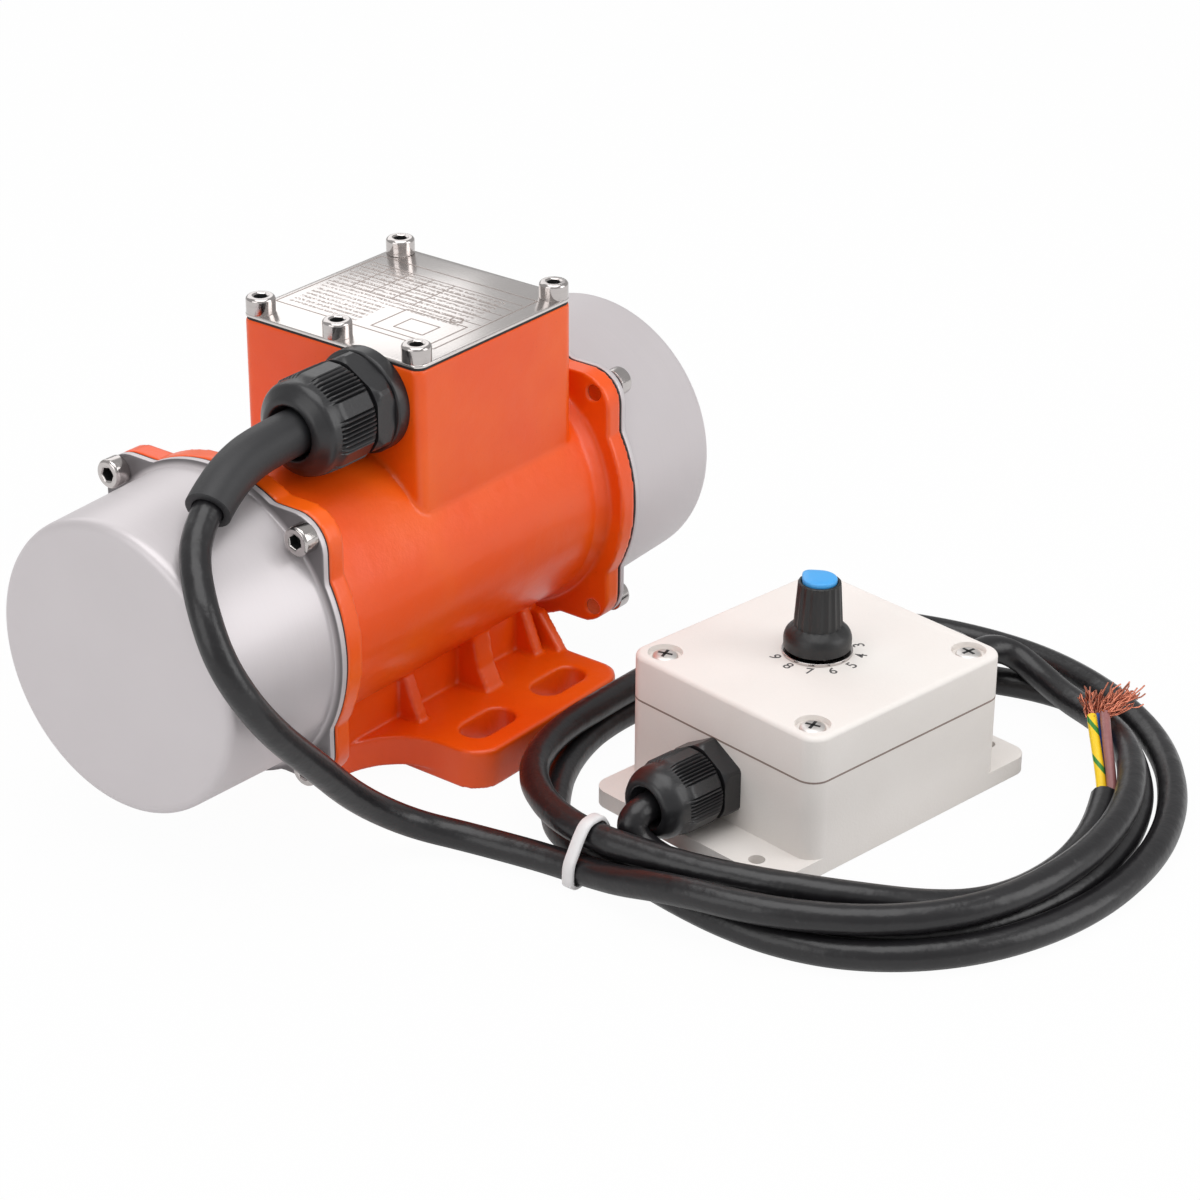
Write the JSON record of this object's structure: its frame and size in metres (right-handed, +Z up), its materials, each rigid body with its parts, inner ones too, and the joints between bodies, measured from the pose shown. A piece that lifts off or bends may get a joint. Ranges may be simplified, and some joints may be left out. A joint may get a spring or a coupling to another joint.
{
  "type": "vibration motor",
  "caption": "Electric vibration motor with slotted cast foot, round end covers, terminal box, coiled cord and a separate rotary speed controller.",
  "frame": {"origin": "centre of the four foot slots, on the floor that the foot stands on", "axes": "+X along the shaft away from the cord gland's end, -Y towards the controller, +Z up"},
  "size_m": [0.2132, 0.2262, 0.1051],
  "materials": {
    "orange_paint": "gloss",
    "cover_metal": "satin",
    "steel": "polished",
    "plate_steel": "mirror",
    "black_nylon": "gloss",
    "black_rubber": "matt",
    "grey_rubber": "matt",
    "cord_jacket": "satin",
    "case_abs": "satin",
    "knob_black": "satin",
    "knob_blue": "satin",
    "laminated_steel": "satin",
    "copper_wire": "satin",
    "cast_alloy": "cast",
    "brass_parts": "satin",
    "board_green": "satin",
    "part_grey": "satin",
    "terminal_cream": "satin",
    "core_insulation": "gloss"
  },
  "bodies": {
    "motor": {"housing": "orange_paint", "near_cover_gasket": "black_rubber", "near_cover": "cover_metal", "near_cover_screws": "steel", "far_cover_gasket": "black_rubber", "far_cover": "cover_metal", "far_cover_screws": "steel", "near_bearing_shield": "cast_alloy", "far_bearing_shield": "cast_alloy", "shield_screws": "steel", "bearing_outer_rings": "steel", "bearing_balls": "steel", "stator_core": "laminated_steel", "stator_windings": "copper_wire", "terminal_gasket": "black_rubber", "terminal_plate": "plate_steel", "terminal_plate_screws": "steel", "terminal_block": "terminal_cream", "terminal_block_screws": "brass_parts", "earth_screw": "brass_parts", "motor_gland_body": "black_nylon", "motor_gland_nut": "black_nylon", "motor_gland_seal": "black_rubber", "cord_sleeve": "grey_rubber", "motor_cord": "cord_jacket", "cord_coil": "cord_jacket", "cable_tie": "terminal_cream", "controller_base": "case_abs", "controller_lid": "case_abs", "lid_screws": "steel", "front_gland_body": "black_nylon", "front_gland_nut": "black_nylon", "rear_gland_body": "black_nylon", "rear_gland_nut": "black_nylon", "gland_locknuts": "black_nylon", "potentiometer": "cast_alloy", "control_washer": "steel", "control_nut": "steel", "circuit_board": "board_green", "heat_sink": "cast_alloy", "capacitor": "part_grey", "controller_terminals": "board_green", "supply_cord": "cord_jacket", "control_cord": "cord_jacket", "cord_tail": "cord_jacket", "core_wires": "core_insulation", "copper_strands": "copper_wire"},
    "rotor": {"shaft": "steel", "rotor_core": "laminated_steel", "rotor_end_rings": "cast_alloy", "bearing_inner_rings": "steel", "fixed_weights": "steel", "fixed_weight_screws": "steel", "shaft_nuts": "steel"},
    "near_weight": {"near_outer_weight": "steel", "near_weight_screw": "steel"},
    "far_weight": {"far_outer_weight": "steel", "far_weight_screw": "steel"},
    "knob": {"knob": "knob_black", "knob_cap": "knob_blue"}
  },
  "joints": [
    {"name": "rotor_spin", "type": "hinge", "parent": "motor", "child": "rotor", "pos_m": [-0.0132, 0, 0.0477], "axis": [1, 0, 0], "continuous": true},
    {"name": "near_weight_angle", "type": "hinge", "parent": "rotor", "child": "near_weight", "pos_m": [-0.0804, 0, 0.0477], "axis": [1, 0, 0], "range_deg": [0, 180]},
    {"name": "far_weight_angle", "type": "hinge", "parent": "rotor", "child": "far_weight", "pos_m": [0.054, 0, 0.0477], "axis": [1, 0, 0], "range_deg": [0, 180]},
    {"name": "knob_turn", "type": "hinge", "parent": "motor", "child": "knob", "pos_m": [0.02372, -0.09901, 0.0363], "axis": [0, 0, -1], "range_deg": [0, 296]}
  ]
}
